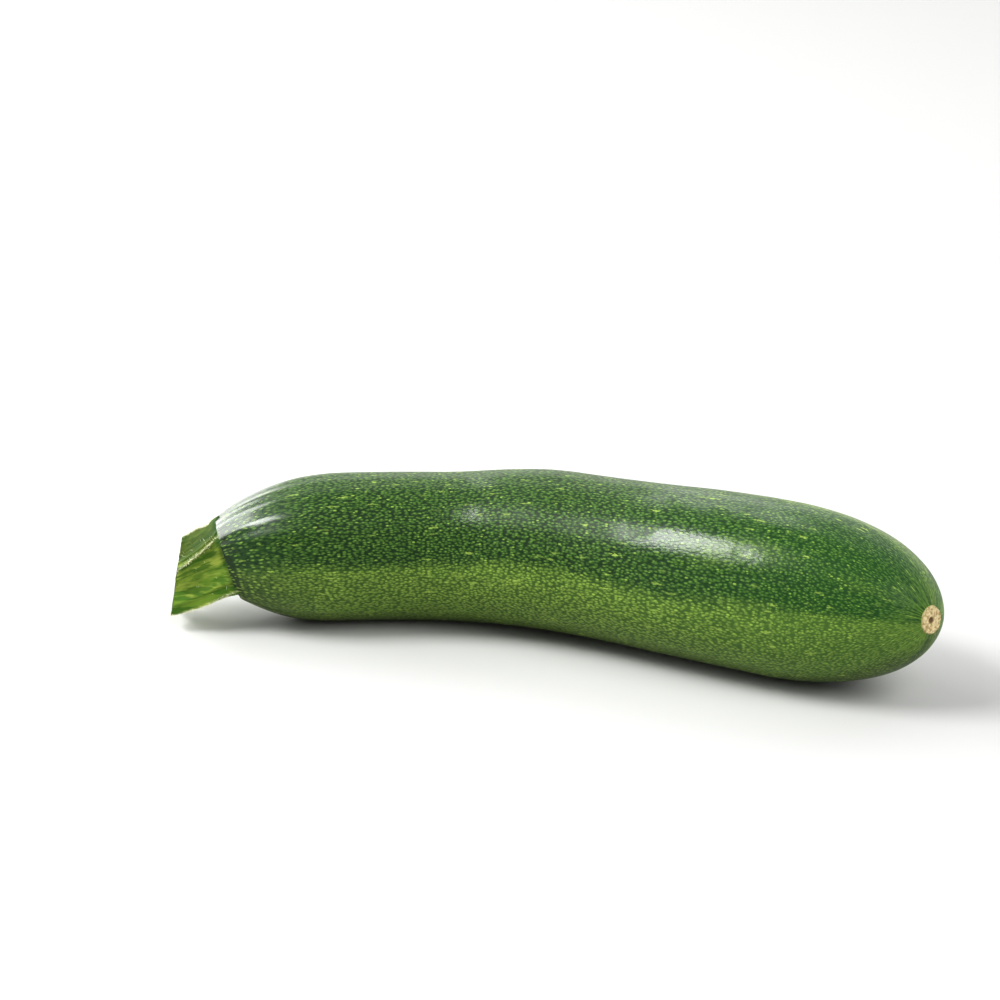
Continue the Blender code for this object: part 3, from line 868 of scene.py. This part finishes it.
# %% Bristle material
hair, tree, shader = new_material("courgette_cream_bristle")
spot = add_node(tree, "ShaderNodeTexCoord", (), "Object")
tint = blotches(tree, spot, 0.0015)
tint = add_node(tree, "ShaderNodeMapRange", (tint, 0.35, 0.65))
cream = {0: tint, 6: linear("#cfd0a4"), 7: linear("#f0ecd2")}
cream = add_node(tree, "ShaderNodeMix", cream, 2, **COLOUR)
tree.links.new(cream, shader.inputs["Base Color"])
shader.inputs["Roughness"].default_value = 0.5
bristles.data.materials.append(hair)
print("bristle nodes:", len(tree.nodes))

# %% [markdown]
# ## The blossom scar
#
# When the flower dropped, the tip healed over with a small disc of dry cork: tan, crumbly, with a
# ragged rim and a brown pit where the style stood. It is a shallow lofted button with noise in its
# outline and its face.

# %% Outline of the scar
SCAR_RADIUS, SCAR_THICKNESS, SCAR_DOME, PIT_DEPTH = 0.0036, 0.0013, 0.0004, 0.0006
SCAR_GAP, DIMPLE_DEPTH = 0.0003, 0.0011
packed_rim = CAP_START + CAP_LENGTH * math.sin(math.acos((SCAR_RADIUS + SCAR_GAP) / BELLY_RADIUS))
scar_centre, scar_forward, scar_side, scar_up = (row[0] for row in axes_along(packed_rim))
scar_centre = scar_centre + PLACE
SCAR_AROUND = 144
scar_angles = 2.0 * math.pi * np.arange(SCAR_AROUND) / SCAR_AROUND
front = SCAR_GAP - DIMPLE_DEPTH + SCAR_THICKNESS
# Each ring's share of the radius, and how far it lies behind the scar's front
edge = [(0.50, 0.0012), (0.92, 0.0010), (1.00, 0.0007), (1.03, 0.0004), (1.0, 0.00015)]
face = np.linspace(0.96, 0.04, 30)
dish = SCAR_DOME * 0.4 * (face - 0.75) ** 2 + PIT_DEPTH * np.exp(-((face / 0.22) ** 2))
profile = np.concatenate([edge, np.stack([face, dish], -1)])
profile[:, 1] = front - profile[:, 1]
print("scar rings:", len(profile))

# %% Roughen the scar
RIM_RAGGEDNESS, CRUMB_HEIGHT = 0.06, 0.00014
spread = SCAR_RADIUS * np.stack([np.cos(scar_angles), np.sin(scar_angles)], -1)
heights = np.broadcast_to(profile[:, 1:, None], (len(profile), SCAR_AROUND, 1))
scar_place = np.concatenate([profile[:, :1, None] * spread, heights], axis=-1)
rim_place = np.append(spread, np.zeros((SCAR_AROUND, 1)), axis=1)
ragged_rim = 1.0 + RIM_RAGGEDNESS * field_noise(rim_place, 0.0012, 12)
crumbs = field_noise(scar_place, 0.0006, 13) + 0.6 * field_noise(scar_place, 0.00028, 14)
scar_radii = SCAR_RADIUS * profile[:, :1] * ragged_rim
flat = [np.broadcast_to(row, (len(profile), 3)) for row in (scar_centre, scar_side, scar_up)]
scar_points = ring_grid(*flat, scar_radii, scar_angles)
face_part = smooth_rise(np.arange(len(profile)), 2, 5)[:, None]
scar_points += (profile[:, 1:] + CRUMB_HEIGHT * crumbs * face_part)[:, :, None] * scar_forward
lengths = lengths_along(scar_points)
scar = lofted_piece("courgette_blossom_scar", scar_points, lengths / lengths[-1], 70.0)
store(scar, "scar_place", scar_place)
store(scar, "from_pit", over_rings(profile[:, :1], len(profile), SCAR_AROUND))
print("scar width in mm:", round(2000 * float(scar_radii.max()), 2))

# %% Cork material
cork, tree, shader = new_material("courgette_dry_cork")
place = add_node(tree, "ShaderNodeAttribute", (), "Vector", attribute_name="scar_place")
from_pit = add_node(tree, "ShaderNodeAttribute", (), "Fac", attribute_name="from_pit")
crumb = blotches(tree, place, 0.0007, 1.0, 3.0)
fine = blotches(tree, place, 0.00025)
crumbly = add_node(tree, "ShaderNodeMapRange", (crumb, 0.32, 0.66), **SMOOTH)
dusty = add_node(tree, "ShaderNodeMapRange", (fine, 0.55, 0.75, 0.0, 0.5))
pit = add_node(tree, "ShaderNodeMapRange", (from_pit, 0.16, 0.34, 0.9, 0.0), **SMOOTH)
green_rim = add_node(tree, "ShaderNodeMapRange", (from_pit, 0.9, 1.02, 0.0, 0.6))
tan = linear("#9d8354")
for share, colour in (
    (crumbly, "#e2d2a4"),
    (dusty, "#86683e"),
    (pit, "#5a3f24"),
    (green_rim, "#8a8a4e"),
):
    tan = add_node(tree, "ShaderNodeMix", {0: share, 6: tan, 7: linear(colour)}, 2, **COLOUR)
tree.links.new(tan, shader.inputs["Base Color"])
shader.inputs["Roughness"].default_value = 0.85
raised = add_node(tree, "ShaderNodeMath", (crumb, fine), operation="ADD")
bump = {"Height": raised, "Distance": 0.00012, "Strength": 1.0}
tree.links.new(add_node(tree, "ShaderNodeBump", bump), shader.inputs["Normal"])
scar.data.materials.append(cork)
print("cork nodes:", len(tree.nodes))

# %% [markdown]
# ## Tie the pieces to the imported model
#
# Each fine piece rides on the courgette's one body and stands for its imported solid. The bristles
# belong to the stem and ride along with it.

# %% Ride and replace
for piece, node, slot in (
    (fruit, "fruit", "waxy_green_skin"),
    (stem, "stem", "pale_green_stem"),
    (scar, "blossom_scar", "dry_cork"),
    (bristles, None, "pale_green_stem"),
):
    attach(piece, "root")
    if node:
        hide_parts(node)
    print(piece.name, "rides on the root and stands for", node or "no solid")

# %% [markdown]
# ## Studio
#
# The courgette lies on a seamless white sweep. A floor bright enough to turn white in the picture
# hides its own edge, and the light comes from large soft boxes.

# %% Floor
floor_mesh = bpy.data.meshes.new("studio_floor")
REACH = 4.0
corners = [(-REACH, -REACH, 0.0), (REACH, -REACH, 0.0), (REACH, REACH, 0.0), (-REACH, REACH, 0.0)]
floor_mesh.from_pydata(corners, [], [(0, 1, 2, 3)])
floor = bpy.data.objects.new("studio_floor", floor_mesh)
bpy.context.scene.collection.objects.link(floor)
floor.location.z = cad_low.z
paper, tree, shader = new_material("white_paper_sweep")
shader.inputs["Base Color"].default_value = linear("#c8c8c7")
shader.inputs["Roughness"].default_value = 0.9
shader.inputs["Specular IOR Level"].default_value = 0.1
floor.data.materials.append(paper)
print("floor at height", round(floor.location.z, 4), "reaching", REACH, "m each way")

# %% Air of the studio
world = bpy.data.worlds.new("studio_air")
bpy.context.scene.world = world
world.use_nodes = True
air = world.node_tree
heading = add_node(air, "ShaderNodeTexCoord", (), "Generated")
ahead = add_node(air, "ShaderNodeSeparateXYZ", (heading,), "Y")
rise = ahead.node.outputs["Z"]
horizon = add_node(air, "ShaderNodeMapRange", (rise, 0.04, 0.10, 0.8, 0.0), **SMOOTH)
back_half = add_node(air, "ShaderNodeMapRange", (ahead, 0.1, 0.5), **SMOOTH)
low_sweep = add_node(air, "ShaderNodeMapRange", (rise, 0.24, 0.32, 1.8, 0.0), **SMOOTH)
sweep = add_node(air, "ShaderNodeMath", (back_half, low_sweep), operation="MULTIPLY")
glow = add_node(air, "ShaderNodeMath", (horizon, sweep), operation="MAXIMUM")
level = add_node(air, "ShaderNodeMath", (glow, 0.20), operation="ADD")
air.nodes["Background"].inputs["Color"].default_value = (1.0, 1.0, 1.0, 1.0)
air.links.new(level, air.nodes["Background"].inputs["Strength"])
print("air nodes:", len(air.nodes))

# %% Soft boxes
def soft_box(name, aim, azimuth, elevation, distance, width, height, power):
    """A rectangular light that looks at a point. Azimuth 0 is in front, 90 on the right."""
    light = bpy.data.lights.new(name, "AREA")
    light.shape, light.size, light.size_y, light.energy = "RECTANGLE", width, height, power
    turn, lift = math.radians(azimuth), math.radians(elevation)
    toward = Vector((math.sin(turn) * math.cos(lift), -math.cos(turn) * math.cos(lift), math.sin(lift)))
    lamp = bpy.data.objects.new(name, light)
    lamp.location = aim + distance * toward
    lamp.rotation_euler = (-toward).to_track_quat("-Z", "Y").to_euler()
    bpy.context.scene.collection.objects.link(lamp)
    return lamp


soft_box("window_key", box_centre, -60.0, 51.0, 1.2, 0.56, 0.38, 9.8)
soft_box("left_window", box_centre, -95.0, 28.0, 1.3, 1.4, 0.85, 20.0)
soft_box("back_soft", box_centre, 175.0, 40.0, 1.8, 2.4, 1.4, 11.5)
soft_box("right_fill", box_centre, 62.0, 44.0, 1.5, 1.2, 0.9, 12.5)
print("lights:", len(bpy.data.lights))

# %% [markdown]
# ## Camera
#
# A long lens from a little above the courgette, turned towards its blossom end, keeps the shape
# free of distortion and shows the whole near side with both ends.

# %% Place the camera
AZIMUTH, ELEVATION, DISTANCE = math.radians(18.2), math.radians(22.0), 0.900
aim_point = box_centre + Vector((-0.01921, 0.00928, 0.0109))
level_part = math.cos(ELEVATION)
toward = Vector((math.sin(AZIMUTH) * level_part, -math.cos(AZIMUTH) * level_part, math.sin(ELEVATION)))
lens = bpy.data.cameras.new("long_lens")
lens.lens, lens.sensor_width, lens.clip_start = 121.7, 36.0, 0.01
camera = bpy.data.objects.new("studio_camera", lens)
camera.location = aim_point + DISTANCE * toward
camera.rotation_euler = (-toward).to_track_quat("-Z", "Y").to_euler()
bpy.context.scene.collection.objects.link(camera)
bpy.context.scene.camera = camera
bpy.context.scene.view_settings.view_transform = "Standard"
bpy.context.scene.view_settings.look = "Medium High Contrast"
print("camera in mm:", [round(value * 1000) for value in camera.location])
